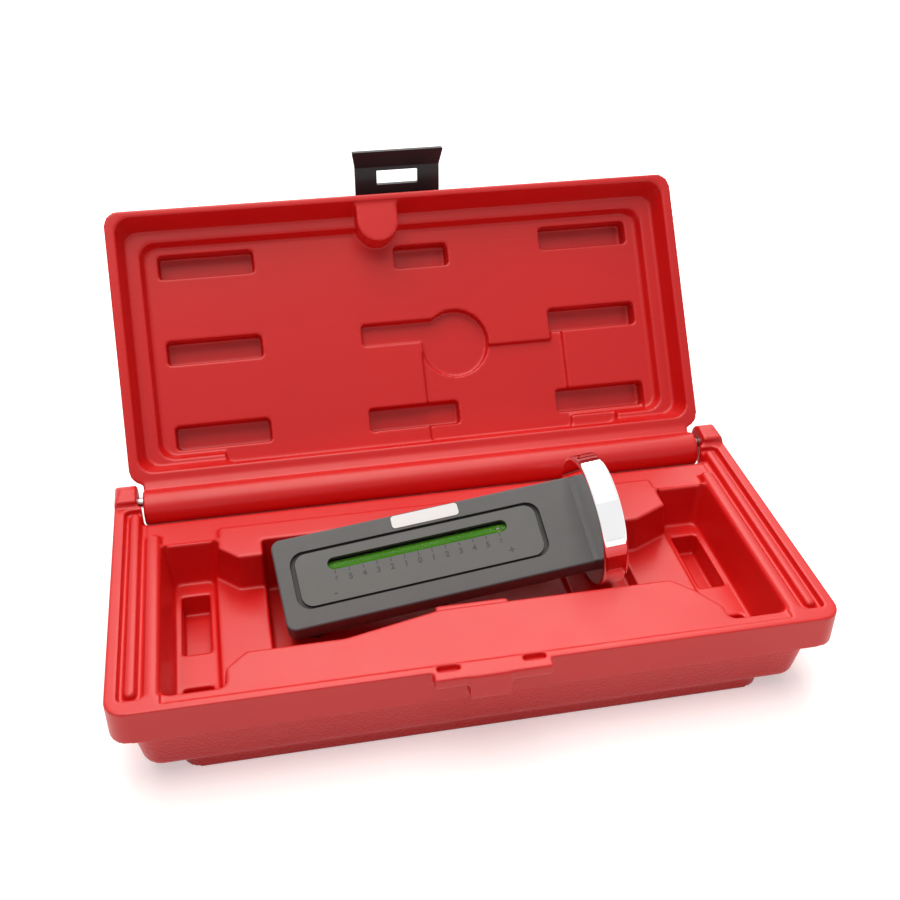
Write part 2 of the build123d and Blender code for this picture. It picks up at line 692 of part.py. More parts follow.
def latch_bar(radius, half):
    """A round bar on the latch's turning axis."""
    return along_x(radius, LATCH_OFF_X - half, LATCH_OFF_X + half, *latch_pivot())


def latch_pin_half():
    return LATCH_WIDTH / 2 + LATCH_GAP + LATCH_PIN_SEAT


def make_latch():
    """The latch, drawn straight out past the lid's free edge and then turned to where it rests."""
    pivot_y, pivot_z = latch_pivot()
    half = LATCH_WIDTH / 2
    low = pivot_z + LATCH_OFFSET - LATCH_PLATE / 2
    top = low + LATCH_PLATE
    tip = pivot_y - LATCH_REACH
    bend = tip + FOLD_LENGTH
    wide = half + LATCH_FLARE
    neck = LATCH_NECK
    side_view = prism_x([(pivot_y - neck, pivot_z), (pivot_y + neck, pivot_z), (pivot_y + neck, low), (pivot_y, top),
                         (bend, top), (tip, top - FOLD_DROP), (tip, low - FOLD_DROP), (bend, low),
                         (pivot_y - neck, low)], -wide, wide)
    front_view = plan([(-half, pivot_y + LATCH_KNUCKLE_R), (-half, bend), (-wide, tip), (wide, tip), (half, bend),
                       (half, pivot_y + LATCH_KNUCKLE_R)], 0, RIM_R / 2, pivot_z - LATCH_OFFSET, top + OVERRUN)
    window_y = tip + WINDOW_FROM_TIP
    window = block(-WINDOW_WIDTH / 2, WINDOW_WIDTH / 2, window_y, window_y + WINDOW_HEIGHT, low - OVERRUN, top + OVERRUN)
    plate = Pos(LATCH_OFF_X, 0, 0) * ((side_view & front_view) - window)
    latch = plate + latch_bar(LATCH_KNUCKLE_R, half) - latch_bar(LATCH_PIN_R + PIN_FIT, CASE_LENGTH)
    return one_solid(latch).rotate(Axis((0, pivot_y, pivot_z), (1, 0, 0)), LATCH_REST)


def latch_pin():
    return one_solid(latch_bar(LATCH_PIN_R, latch_pin_half()))


def opened(shape):
    """Turns a piece of the shut lid to where the open lid holds it."""
    return shape.rotate(Axis((0, AXIS_Y, AXIS_Z), (1, 0, 0)), -OPEN_ANGLE)


# gauge, in its own frame

BODY_TOP = FACE_HEIGHT
BODY_LOW = FACE_HEIGHT - BODY_THICK
PANEL_X = -BODY_LENGTH + PANEL_FROM_END + PANEL_LENGTH / 2
SLOT_X = PANEL_X
SLOT_Y = SLOT_OFF_Y + PANEL_OFF_Y
PANEL_LOW = BODY_TOP - PANEL_SINK - PANEL_THICK
VIAL_Z = BODY_TOP - PANEL_SINK - PANEL_THICK - VIAL_R - VIAL_FIT
VIAL_LENGTH = SLOT_LENGTH + 2 * VIAL_TAIL
CRADLE_LENGTH = VIAL_LENGTH + 2 * PAD_THICK
BUBBLE_TRAVEL = SLOT_LENGTH - BUBBLE_LENGTH - 2 * BUBBLE_GAP


def rounded(length, width, thick, x, y, z, r):
    return Pos(x, y, z) * extrude(RectangleRounded(length, width, r), thick)


def screw_places():
    x0, x1 = -BODY_LENGTH + SCREW_INSET, -END_CAP_LENGTH - TENON_LENGTH - SCREW_INSET
    y = BODY_WIDTH / 2 - SHELL_WALL - POST_R
    return [(x, side * y) for x in (x0, x1) for side in (-1, 1)]


def body_bar(x0, x1):
    """A length of the body's outside, rounded at the far end only."""
    half = BODY_WIDTH / 2
    bar = block(-BODY_LENGTH, 2 * BODY_R, -half, half, BODY_LOW, BODY_TOP, BODY_R)
    bar = fillet(bar.faces().sort_by(Axis.Z)[-1].edges(), BODY_EDGE_R)
    return bar & block(x0, x1, -half - OVERRUN, half + OVERRUN, BODY_LOW - OVERRUN, BODY_TOP + OVERRUN)


def make_housing():
    """The black shell with its open back, panel opening and screw posts."""
    x0, x1 = -BODY_LENGTH, -END_CAP_LENGTH
    shell = body_bar(x0 - OVERRUN, x1)
    inner = BODY_WIDTH / 2 - SHELL_WALL
    shell -= block(x0 + SHELL_WALL, x1 + 2 * BODY_R, -inner, inner, BODY_LOW - OVERRUN, BODY_TOP - FACE_WALL,
                   BODY_R - SHELL_WALL / 2)
    for x, y in screw_places():
        post_low = BODY_LOW + COVER_THICK + COVER_GAP
        height = BODY_TOP - FACE_WALL / 2 - post_low
        post = Pos(x, y, post_low + height / 2) * Cylinder(POST_R, height)
        shell += post
        bore_deep = SCREW_LENGTH
        shell -= Pos(x, y, post_low + bore_deep / 2 - OVERRUN / 2) * Cylinder(SCREW_R + SCREW_FIT, bore_deep + OVERRUN)
    shell -= rounded(PANEL_LENGTH + 2 * PANEL_GAP_END, PANEL_WIDTH + 2 * PANEL_GAP_SIDE, FACE_WALL + 2 * OVERRUN,
                     PANEL_X, PANEL_OFF_Y, BODY_TOP - FACE_WALL - OVERRUN, PANEL_R + PANEL_GAP_SIDE)
    badge_x, badge_y = badge_place()
    shell -= rounded(BADGE_LENGTH + 2 * VIAL_FIT, BADGE_WIDTH + 2 * VIAL_FIT, BADGE_THICK, badge_x, badge_y,
                     BODY_TOP - BADGE_THICK / 2, BADGE_R)
    return one_solid(shell)


def badge_place():
    return PANEL_X + BADGE_OFF_X, BODY_WIDTH / 2 - BADGE_EDGE - BADGE_WIDTH / 2


def make_badge():
    x, y = badge_place()
    return rounded(BADGE_LENGTH, BADGE_WIDTH, BADGE_THICK, x, y, BODY_TOP - BADGE_THICK / 2, BADGE_R)


def make_panel():
    """The scale panel, with the long window over the vial."""
    panel = rounded(PANEL_LENGTH, PANEL_WIDTH, PANEL_THICK, PANEL_X, PANEL_OFF_Y, PANEL_LOW, PANEL_R)
    slot = rounded(SLOT_LENGTH, SLOT_WIDTH, PANEL_THICK + 2 * OVERRUN, SLOT_X, SLOT_Y, PANEL_LOW - OVERRUN,
                   SLOT_R)
    return one_solid(panel - slot)


def panel_frame():
    """The dark liner under the gap around the panel, which carries the panel's edge."""
    wide, tall = PANEL_LENGTH + 2 * PANEL_GAP_END + 2 * SHELL_WALL, PANEL_WIDTH + 2 * PANEL_GAP_SIDE + 2 * SHELL_WALL
    under = BODY_TOP - FACE_WALL
    low = PANEL_LOW - VIAL_WALL
    plate = rounded(wide, tall, under - low, PANEL_X, PANEL_OFF_Y, low, PANEL_R + SHELL_WALL)
    plate -= rounded(PANEL_LENGTH + 2 * VIAL_FIT, PANEL_WIDTH + 2 * VIAL_FIT, under - low + OVERRUN, PANEL_X,
                     PANEL_OFF_Y, PANEL_LOW, PANEL_R)
    cut_x, cut_y = CRADLE_LENGTH + 2 * CRADLE_WALL, CRADLE_WIDTH + 2 * CRADLE_WALL
    plate -= Pos(SLOT_X, SLOT_Y, low) * Box(cut_x, cut_y, 2 * (under - low))
    for x, y in screw_places():
        plate -= Pos(x, y, low) * Cylinder(POST_R + COVER_GAP, 2 * (under - low))
    return one_solid(plate)


def vial_bar(radius, length):
    """A round bar on the vial's centre line."""
    return along_x(radius, SLOT_X - length / 2, SLOT_X + length / 2, SLOT_Y, VIAL_Z)


def make_vial():
    return one_solid(vial_bar(VIAL_R, VIAL_LENGTH) - vial_bar(VIAL_R - VIAL_WALL, VIAL_LENGTH + OVERRUN))


def vial_plugs():
    plugs = []
    for side in (-1, 1):
        outer = SLOT_X + side * VIAL_LENGTH / 2
        x0, x1 = sorted((outer, outer - side * VIAL_PLUG_LENGTH))
        plugs.append(one_solid(along_x(VIAL_R - VIAL_WALL, x0, x1, SLOT_Y, VIAL_Z)))
    return Compound(children=plugs)


def bubble_ends():
    """The bubble's two ends at rest, against the higher end of the vial's window."""
    x1 = SLOT_X + SLOT_LENGTH / 2 - BUBBLE_GAP
    return x1 - BUBBLE_LENGTH, x1


def capsule(radius, end_r, x0, x1, y, z):
    """A round bar with rounded ends."""
    bar = along_x(radius, x0, x1, y, z)
    return fillet([e for e in bar.edges() if e.geom_type == GeomType.CIRCLE], end_r)


def make_liquid():
    """The liquid, with the headspace along the top that the bubble runs in."""
    inner = VIAL_LENGTH - 2 * VIAL_PLUG_LENGTH
    liquid = vial_bar(VIAL_R - VIAL_WALL, inner)
    x0, x1 = bubble_ends()
    run = capsule(BUBBLE_R + BUBBLE_GAP, BUBBLE_END_R, x0 - BUBBLE_TRAVEL - BUBBLE_GAP, x1 + BUBBLE_GAP,
                  SLOT_Y, bubble_z())
    return one_solid(liquid - run)


def bubble_z():
    return VIAL_Z + VIAL_R - VIAL_WALL - BUBBLE_R - BUBBLE_GAP


def make_bubble():
    x0, x1 = bubble_ends()
    return one_solid(capsule(BUBBLE_R, BUBBLE_END_R, x0, x1, SLOT_Y, bubble_z()))


def make_cradle():
    """The trough under the vial."""
    half = CRADLE_WIDTH / 2
    low, top = BODY_LOW + COVER_THICK + COVER_GAP, VIAL_Z
    cradle = Pos(SLOT_X, SLOT_Y, (low + top) / 2) * Box(CRADLE_LENGTH, 2 * half, top - low)
    cradle -= along_x(VIAL_R + VIAL_FIT, SLOT_X - CRADLE_LENGTH, SLOT_X + CRADLE_LENGTH, SLOT_Y, VIAL_Z)
    return one_solid(cradle)


def vial_pads():
    """The foam pads that hold the vial endways."""
    pads = []
    for side in (-1, 1):
        near = SLOT_X + side * (VIAL_LENGTH / 2 + VIAL_FIT)
        far = SLOT_X + side * CRADLE_LENGTH / 2
        x0, x1 = sorted((near, far))
        pads.append(one_solid(along_x(VIAL_R, x0, x1, SLOT_Y, VIAL_Z)))
    return Compound(children=pads)


def make_cover():
    """The back cover, let into the open back of the shell."""
    gap = COVER_GAP
    x0, x1 = -BODY_LENGTH + SHELL_WALL + gap, -END_CAP_LENGTH - TENON_LENGTH - gap
    half = BODY_WIDTH / 2 - SHELL_WALL - gap
    cover = block(x0, x1, -half, half, BODY_LOW, BODY_LOW + COVER_THICK, BODY_R - SHELL_WALL / 2 - gap)
    for x, y in screw_places():
        cover -= Pos(x, y, BODY_LOW) * Cylinder(SCREW_R + SCREW_FIT, 3 * COVER_THICK)
        cover -= Pos(x, y, BODY_LOW) * Cylinder(SCREW_HEAD_R + SCREW_FIT, 2 * SCREW_HEAD_THICK)
    return one_solid(cover)


def cover_screws():
    screws = []
    for x, y in screw_places():
        head = Pos(x, y, BODY_LOW + SCREW_HEAD_THICK / 2) * Cylinder(SCREW_HEAD_R, SCREW_HEAD_THICK)
        shank = Pos(x, y, BODY_LOW + SCREW_LENGTH / 2) * Cylinder(SCREW_R, SCREW_LENGTH)
        slot = Pos(x, y, BODY_LOW) * Box(2 * SCREW_HEAD_R, SCREW_R / 2, SCREW_HEAD_THICK)
        screws.append(one_solid(head + shank - slot))
    return Compound(children=screws)


def steady_feet():
    """The two wedge feet under the body's far end."""
    feet = []
    x0 = -BODY_LENGTH + FOOT_FROM_END
    for side in (-1, 1):
        edge = side * BODY_WIDTH / 2
        y0, y1 = sorted((edge - side * FOOT_THICK, edge))
        profile = make_face(Polyline([(x0, 0, BODY_LOW), (x0 + FOOT_LENGTH, 0, BODY_LOW),
                                      (x0 + FOOT_TOE, 0, BODY_LOW - FOOT_DEPTH)], close=True))
        wedge = extrude(profile, y1 - y0, dir=(0, 1, 0))
        feet.append(one_solid(Pos(0, y0, 0) * wedge))
    return Compound(children=feet)


def make_end_cap():
    """The plate that closes the shell at the magnet, with the block inside that takes the screw."""
    half = BODY_WIDTH / 2 - SHELL_WALL - TENON_FIT
    cap = body_bar(-END_CAP_LENGTH, 0)
    cap += block(-END_CAP_LENGTH - TENON_LENGTH, -END_CAP_LENGTH / 2, -half, half, BODY_LOW,
                 BODY_TOP - FACE_WALL - TENON_FIT)
    cap -= along_x(MAGNET_SCREW_R + SCREW_FIT, -END_CAP_LENGTH - MAGNET_SCREW_GRIP, OVERRUN, 0, magnet_screw_z())
    return one_solid(cap)


def magnet_screw_z():
    """The magnet is held on the middle of the end cap's height."""
    return 0.0


def make_cup():
    """The plated steel cup, open on its working side."""
    cup = along_x(RING_R, 0, RING_THICK, 0, 0)
    rims = [e for e in cup.edges() if e.geom_type == GeomType.CIRCLE]
    cup = fillet(rims, CUP_EDGE_R)
    cup -= along_x(RING_R - CUP_WALL, CUP_WALL, RING_THICK + OVERRUN, 0, 0)
    cup -= along_x(MAGNET_SCREW_R + SCREW_FIT, -OVERRUN, RING_THICK, 0, magnet_screw_z())
    return one_solid(cup)


def make_magnet():
    outer = RING_R - CUP_WALL - MAGNET_GAP
    magnet = along_x(outer, CUP_WALL, CUP_WALL + MAGNET_THICK, 0, 0)
    return one_solid(magnet - along_x(POLE_R + MAGNET_GAP, 0, RING_THICK, 0, 0))


def make_pole():
    """The steel centre pole, a little below the cup's edge."""
    far = RING_THICK - POLE_RECESS
    pole = along_x(POLE_R, CUP_WALL, far, 0, 0)
    pole -= along_x(MAGNET_SCREW_R + SCREW_FIT, 0, RING_THICK, 0, magnet_screw_z())
    sunk = MAGNET_SCREW_HEAD + WASHER_THICK
    pole -= along_x(WASHER_R + SCREW_FIT, far - sunk, RING_THICK, 0, magnet_screw_z())
    return one_solid(pole)


def potting_ring():
    """The black filler that closes the cup over the magnet."""
    outer = RING_R - CUP_WALL - SCREW_FIT
    x0, x1 = CUP_WALL + MAGNET_THICK, RING_THICK - POLE_RECESS
    return one_solid(along_x(outer, x0, x1, 0, 0) - along_x(POLE_R + SCREW_FIT, 0, RING_THICK, 0, 0))


def magnet_screw():
    far = RING_THICK - POLE_RECESS
    head_low = far - MAGNET_SCREW_HEAD
    z = magnet_screw_z()
    screw = along_x(MAGNET_SCREW_HEAD_R, head_low, far, 0, z)
    screw += along_x(MAGNET_SCREW_R, -END_CAP_LENGTH - MAGNET_SCREW_GRIP, head_low + OVERRUN / 4, 0, z)
    across = MAGNET_SCREW_R / 2
    screw -= Pos(far, 0, z) * Box(MAGNET_SCREW_HEAD, 2 * MAGNET_SCREW_HEAD_R, across)
    screw -= Pos(far, 0, z) * Box(MAGNET_SCREW_HEAD, across, 2 * MAGNET_SCREW_HEAD_R)
    return one_solid(screw)


def magnet_washer():
    far = RING_THICK - POLE_RECESS - MAGNET_SCREW_HEAD
    z = magnet_screw_z()
    ring = along_x(WASHER_R, far - WASHER_THICK, far, 0, z)
    return one_solid(ring - along_x(MAGNET_SCREW_R + SCREW_FIT, 0, RING_THICK, 0, z))


def gauge_place():
    """Where the gauge lies in the case."""
    place = Pos(GAUGE_X, GAUGE_Y, RIM + GAUGE_RISE) * Rot(0, 0, GAUGE_YAW) * Rot(0, GAUGE_PITCH, 0)
    return place * Rot(GAUGE_TILT, 0, 0)


def laid(shape):
    """Moves a piece of the gauge to where the gauge lies in the case."""
    return gauge_place() * shape


CASE_PIECES = {"case_base": make_base, "hinge_pins": hinge_pins}
LID_PIECES = {"case_lid": make_lid, "latch": make_latch, "latch_pin": latch_pin}
GAUGE_PIECES = {
    "gauge_housing": make_housing, "badge_plate": make_badge, "scale_panel": make_panel,
    "panel_frame": panel_frame, "vial_tube": make_vial, "vial_plugs": vial_plugs,
    "vial_liquid": make_liquid, "vial_bubble": make_bubble, "vial_cradle": make_cradle,
    "vial_pads": vial_pads, "back_cover": make_cover, "cover_screws": cover_screws,
    "steady_feet": steady_feet, "end_cap": make_end_cap, "magnet_cup": make_cup,
    "magnet_ring": make_magnet, "centre_pole": make_pole, "potting_ring": potting_ring,
    "magnet_screw": magnet_screw, "magnet_washer": magnet_washer,
}

for name, make in CASE_PIECES.items():
    save(make(), name)
for name, make in LID_PIECES.items():
    save(opened(make()), name)
for name, make in GAUGE_PIECES.items():
    save(laid(make()), name)
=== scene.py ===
import math

import bmesh
import bpy
from mathutils import Matrix, Vector

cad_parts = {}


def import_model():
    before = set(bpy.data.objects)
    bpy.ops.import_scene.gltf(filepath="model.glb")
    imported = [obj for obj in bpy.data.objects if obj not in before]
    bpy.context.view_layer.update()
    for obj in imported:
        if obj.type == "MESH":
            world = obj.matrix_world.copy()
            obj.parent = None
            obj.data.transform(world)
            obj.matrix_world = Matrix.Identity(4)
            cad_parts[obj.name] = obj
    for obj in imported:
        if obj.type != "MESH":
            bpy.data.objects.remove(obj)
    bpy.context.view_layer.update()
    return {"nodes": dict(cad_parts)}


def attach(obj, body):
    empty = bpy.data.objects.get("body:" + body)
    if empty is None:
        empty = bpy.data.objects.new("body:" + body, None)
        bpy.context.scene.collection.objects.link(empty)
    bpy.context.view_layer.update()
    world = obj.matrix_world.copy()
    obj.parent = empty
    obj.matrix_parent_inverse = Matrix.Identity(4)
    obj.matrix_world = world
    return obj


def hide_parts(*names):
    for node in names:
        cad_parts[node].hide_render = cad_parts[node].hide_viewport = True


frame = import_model()
NODES = frame["nodes"]
MM = 0.001


# the gauge's own frame: x along the body from the magnet's inner face, y across the face, z out of the face
GAUGE_PLACE = Vector((48.6, 10.0, 40.65)) * MM
GAUGE_YAW = math.radians(2.6)
GAUGE_PITCH = math.radians(-5.4)
GAUGE_TILT = math.radians(30.4)
GAUGE = (Matrix.Translation(GAUGE_PLACE) @ Matrix.Rotation(GAUGE_YAW, 4, "Z")
         @ Matrix.Rotation(GAUGE_PITCH, 4, "Y") @ Matrix.Rotation(GAUGE_TILT, 4, "X"))


# objects and meshes

def add_object(name, data):
    obj = bpy.data.objects.new(name, data)
    bpy.context.scene.collection.objects.link(obj)
    return obj


def mesh_object(name, bm):
    """An object that takes its mesh from bm, which is freed."""
    mesh = bpy.data.meshes.new(name)
    bm.to_mesh(mesh)
    bm.free()
    return add_object(name, mesh)


def rectangle(bm, low, high, z):
    """A flat face at height z that looks up, from its low corner to its high one."""
    corners = [(low[0], low[1]), (high[0], low[1]), (high[0], high[1]), (low[0], high[1])]
    bm.faces.new([bm.verts.new((x, y, z)) for x, y in corners])


def put(mat, obj):
    obj.data.materials.clear()
    obj.data.materials.append(mat)


# shader nodes: a noise's scale is in waves per metre and its detail in octaves

DRIFT_DETAIL = 3.0
FINE_DETAIL = 2.0
RAMP_STOPS = (0.3, 0.7)


def new_material(name):
    mat = bpy.data.materials.new(name)
    mat.use_nodes = True
    tree = mat.node_tree
    return mat, tree, tree.nodes["Principled BSDF"]


def noise(tree, scale, detail, rough=0.5):
    coords = tree.nodes.new("ShaderNodeTexCoord")
    tex = tree.nodes.new("ShaderNodeTexNoise")
    tex.inputs["Scale"].default_value = scale
    tex.inputs["Detail"].default_value = detail
    tex.inputs["Roughness"].default_value = rough
    tree.links.new(coords.outputs["Object"], tex.inputs["Vector"])
    return tex.outputs["Fac"]


def drifting_colour(tree, bsdf, low, high, scale, detail=DRIFT_DETAIL):
    """A base colour that wanders from low to high."""
    node = tree.nodes.new("ShaderNodeValToRGB")
    for element, stop, colour in zip(node.color_ramp.elements, RAMP_STOPS, (low, high)):
        element.position = stop
        element.color = (*colour, 1.0)
    tree.links.new(noise(tree, scale, detail), node.inputs["Fac"])
    tree.links.new(node.outputs["Color"], bsdf.inputs["Base Color"])


def uneven_gloss(tree, bsdf, rough, scale, detail=DRIFT_DETAIL):
    """A roughness that wanders between the two values of rough."""
    node = tree.nodes.new("ShaderNodeMapRange")
    node.inputs["To Min"].default_value, node.inputs["To Max"].default_value = rough
    tree.links.new(noise(tree, scale, detail), node.inputs["Value"])
    tree.links.new(node.outputs["Result"], bsdf.inputs["Roughness"])


def bump(tree, bsdf, source, distance):
    node = tree.nodes.new("ShaderNodeBump")
    node.inputs["Distance"].default_value = distance
    tree.links.new(source, node.inputs["Height"])
    tree.links.new(node.outputs["Normal"], bsdf.inputs["Normal"])


def shader_math(tree, operation, first, second=0.0):
    """A math node on two sockets or constants."""
    node = tree.nodes.new("ShaderNodeMath")
    node.operation = operation
    for socket, value in zip(node.inputs, (first, second)):
        if isinstance(value, (int, float)):
            socket.default_value = value
        else:
            tree.links.new(value, socket)
    return node.outputs[0]


def map_range(tree, source, low, high):
    """0 at low and 1 at high, held outside them."""
    node = tree.nodes.new("ShaderNodeMapRange")
    node.inputs["From Min"].default_value, node.inputs["From Max"].default_value = low, high
    tree.links.new(source, node.inputs["Value"])
    return node.outputs["Result"]


# the case's red plastic

RED_LOW = (0.56, 0.003, 0.003)
RED_HIGH = (0.62, 0.005, 0.004)
RED_DRIFT = 12.0
RED_ROUGH = (0.34, 0.44)
RED_GLOSS_DRIFT = 90.0
LEATHER_CELLS = 900.0
LEATHER_GRAIN = 700.0
LEATHER_GRAIN_DETAIL = 4.0
LEATHER_GRAIN_ROUGH = 0.6
RIPPLE = 160.0
RIPPLE_SHARE = 0.25
RED_DEPTH = 0.16 * MM

# where the leather grain fades in: by depth, by width, by height and by the steepness of the face
GRAIN_Y = (40.5 * MM, 42.5 * MM)
GRAIN_X = (107.5 * MM, 109.5 * MM)
GRAIN_Z = (25.8 * MM, 24.5 * MM)
GRAIN_NORMAL_Z = (0.95, 0.6)


def outer_wall(tree, coords):
    """1 on faces that look away from the case's middle, below the rim flange."""
    place = tree.nodes.new("ShaderNodeSeparateXYZ")
    tree.links.new(coords.outputs["Object"], place.inputs["Vector"])
    facing = tree.nodes.new("ShaderNodeSeparateXYZ")
    tree.links.new(coords.outputs["Normal"], facing.inputs["Vector"])
    deep = map_range(tree, shader_math(tree, "ABSOLUTE", place.outputs["Y"]), *GRAIN_Y)
    wide = map_range(tree, shader_math(tree, "ABSOLUTE", place.outputs["X"]), *GRAIN_X)
    edge = shader_math(tree, "MAXIMUM", deep, wide)
    low = map_range(tree, place.outputs["Z"], *GRAIN_Z)
    side = map_range(tree, shader_math(tree, "ABSOLUTE", facing.outputs["Z"]), *GRAIN_NORMAL_Z)
    return shader_math(tree, "MULTIPLY", shader_math(tree, "MULTIPLY", edge, low), side)


def red_plastic():
    """The blow-moulded red: smooth above, with a leather grain on the sides below the rim flange."""
    mat, tree, bsdf = new_material("case_red")
    drifting_colour(tree, bsdf, RED_LOW, RED_HIGH, RED_DRIFT)
    coords = tree.nodes.new("ShaderNodeTexCoord")
    leather = tree.nodes.new("ShaderNodeTexVoronoi")
    leather.inputs["Scale"].default_value = LEATHER_CELLS
    tree.links.new(coords.outputs["Object"], leather.inputs["Vector"])
    grain = noise(tree, LEATHER_GRAIN, LEATHER_GRAIN_DETAIL, LEATHER_GRAIN_ROUGH)
    both = shader_math(tree, "ADD", leather.outputs["Distance"], grain)
    amount = shader_math(tree, "MULTIPLY", both, outer_wall(tree, coords))
    ripple = shader_math(tree, "MULTIPLY", noise(tree, RIPPLE, FINE_DETAIL), RIPPLE_SHARE)
    bump(tree, bsdf, shader_math(tree, "ADD", amount, ripple), RED_DEPTH)
    uneven_gloss(tree, bsdf, RED_ROUGH, RED_GLOSS_DRIFT)
    return mat


# the other finishes

PLASTIC_DRIFT = 35.0
PLASTIC_GRAIN = 900.0
PLASTIC_DEPTH = 0.02 * MM
GRAIN_PER_GLOSS = 6
METAL_DRIFT = 60.0
METAL_GRAIN = 1500.0
METAL_DEPTH = 0.005 * MM
METAL_GLOSS_DRIFT = 240.0
METAL_GLOSS_DETAIL = 4.0
CLEAR_DRIFT = 90.0
FACE_GRAIN = 1600.0
SHELL_DEPTH = 0.015 * MM
PANEL_DEPTH = 0.012 * MM
CHROME_GRAIN = 400.0
LIQUID_GRAIN = 300.0
POLISHED_DEPTH = 0.002 * MM


def plastic(name, low, high, rough, grain=PLASTIC_GRAIN, depth=PLASTIC_DEPTH, specular=0.5):
    """A moulded surface: soft colour drift, a fine grain and uneven gloss."""
    mat, tree, bsdf = new_material(name)
    drifting_colour(tree, bsdf, low, high, PLASTIC_DRIFT)
    uneven_gloss(tree, bsdf, rough, grain / GRAIN_PER_GLOSS)
    bump(tree, bsdf, noise(tree, grain, FINE_DETAIL), depth)
    bsdf.inputs["Specular IOR Level"].default_value = specular
    return mat


def metal(name, low, high, rough, grain=METAL_GRAIN, depth=METAL_DEPTH):
    """A metal surface with a fine grain and uneven gloss."""
    mat, tree, bsdf = new_material(name)
    drifting_colour(tree, bsdf, low, high, METAL_DRIFT)
    uneven_gloss(tree, bsdf, rough, METAL_GLOSS_DRIFT, METAL_GLOSS_DETAIL)
    bump(tree, bsdf, noise(tree, grain, FINE_DETAIL), depth)
    bsdf.inputs["Metallic"].default_value = 1.0
    return mat


def clear(name, low, high, rough, alpha):
    """A surface that is seen through, all but for its gloss."""
    mat, tree, bsdf = new_material(name)
    drifting_colour(tree, bsdf, low, high, CLEAR_DRIFT, FINE_DETAIL)
    bsdf.inputs["Roughness"].default_value = rough
    bsdf.inputs["Alpha"].default_value = alpha
    return mat


RED = red_plastic()
LATCH = plastic("latch_black", (0.010, 0.012, 0.014), (0.015, 0.017, 0.020), rough=(0.34, 0.44),
                specular=0.35)
SHELL = plastic("shell_black", (0.085, 0.085, 0.087), (0.098, 0.098, 0.100), rough=(0.40, 0.50),
                grain=FACE_GRAIN, depth=SHELL_DEPTH, specular=0.3)
PANEL = plastic("panel_grey", (0.062, 0.062, 0.060), (0.070, 0.070, 0.067), rough=(0.42, 0.50),
                grain=FACE_GRAIN, depth=PANEL_DEPTH)
FRAME = plastic("frame_black", (0.004, 0.004, 0.004), (0.008, 0.008, 0.008), rough=(0.5, 0.6))
COLLAR = plastic("collar_black", (0.035, 0.035, 0.037), (0.045, 0.045, 0.047), rough=(0.32, 0.42))
BADGE = plastic("badge_white", (0.66, 0.66, 0.68), (0.74, 0.74, 0.75), rough=(0.25, 0.35))
INK = plastic("ink_black", (0.006, 0.006, 0.006), (0.010, 0.010, 0.010), rough=(0.45, 0.55))
RUBBER = plastic("foot_rubber", (0.012, 0.012, 0.012), (0.02, 0.02, 0.02), rough=(0.6, 0.7))
PLUG = plastic("plug_rubber", (0.05, 0.09, 0.02), (0.07, 0.12, 0.03), rough=(0.5, 0.6))
FOAM = plastic("foam_grey", (0.2, 0.2, 0.2), (0.3, 0.3, 0.3), rough=(0.8, 0.9))
CRADLE = plastic("cradle_white", (0.5, 0.8, 0.3), (0.55, 0.85, 0.35), rough=(0.5, 0.6))
STEEL = metal("pin_steel", (0.5, 0.5, 0.51), (0.58, 0.58, 0.59), rough=(0.28, 0.38))
POLE = metal("pole_steel", (0.52, 0.52, 0.52), (0.6, 0.6, 0.6), rough=(0.3, 0.4))
CHROME = metal("cup_chrome", (0.86, 0.86, 0.87), (0.90, 0.90, 0.91), rough=(0.03, 0.06),
               grain=CHROME_GRAIN, depth=POLISHED_DEPTH)
MAGNET = plastic("magnet_dark", (0.05, 0.05, 0.05), (0.07, 0.07, 0.07), rough=(0.6, 0.7))
FILLER = plastic("filler_black", (0.012, 0.012, 0.012), (0.02, 0.02, 0.02), rough=(0.35, 0.5))
GLASS = clear("vial_glass", (0.5, 0.8, 0.3), (0.6, 0.9, 0.4), rough=0.03, alpha=0.04)
LIQUID = plastic("vial_green", (0.08, 0.42, 0.003), (0.12, 0.52, 0.006), rough=(0.08, 0.14),
                 grain=LIQUID_GRAIN, depth=POLISHED_DEPTH, specular=0.15)
BUBBLE = plastic("bubble_clear", (0.10, 0.13, 0.07), (0.14, 0.18, 0.09), rough=(0.06, 0.1),
                 grain=LIQUID_GRAIN, depth=POLISHED_DEPTH)
# a painted highlight: the bright ring round the bubble, brighter than the liquid, stands in for light
# gathered at the bubble's curved edge
PAINTED_BUBBLE_HIGHLIGHT = plastic("bubble_edge_painted_highlight", (0.34, 0.80, 0.02), (0.42, 0.90, 0.04), rough=(0.08, 0.14),
                   grain=LIQUID_GRAIN, depth=POLISHED_DEPTH)

FINISH = {
    "case_base": RED, "case_lid": RED, "hinge_pins": STEEL, "latch": LATCH, "latch_pin": STEEL,
    "gauge_housing": SHELL, "back_cover": SHELL, "cover_screws": STEEL, "steady_feet": RUBBER,
    "scale_panel": PANEL, "panel_frame": FRAME, "badge_plate": BADGE, "vial_tube": GLASS,
    "vial_liquid": LIQUID, "vial_bubble": BUBBLE, "vial_plugs": PLUG, "vial_pads": FOAM,
    "vial_cradle": CRADLE, "end_cap": COLLAR, "magnet_cup": CHROME, "magnet_ring": MAGNET,
    "centre_pole": POLE, "potting_ring": FILLER, "magnet_screw": STEEL, "magnet_washer": STEEL,
}
for name, mat in FINISH.items():
    put(mat, NODES[name])


# the two mouldings, with the soft edges of blow moulding

SAME_POINT = 0.001 * MM
VOXEL = 0.6 * MM
RELAX_FACTOR = 0.5
RELAX_ROUNDS = 3


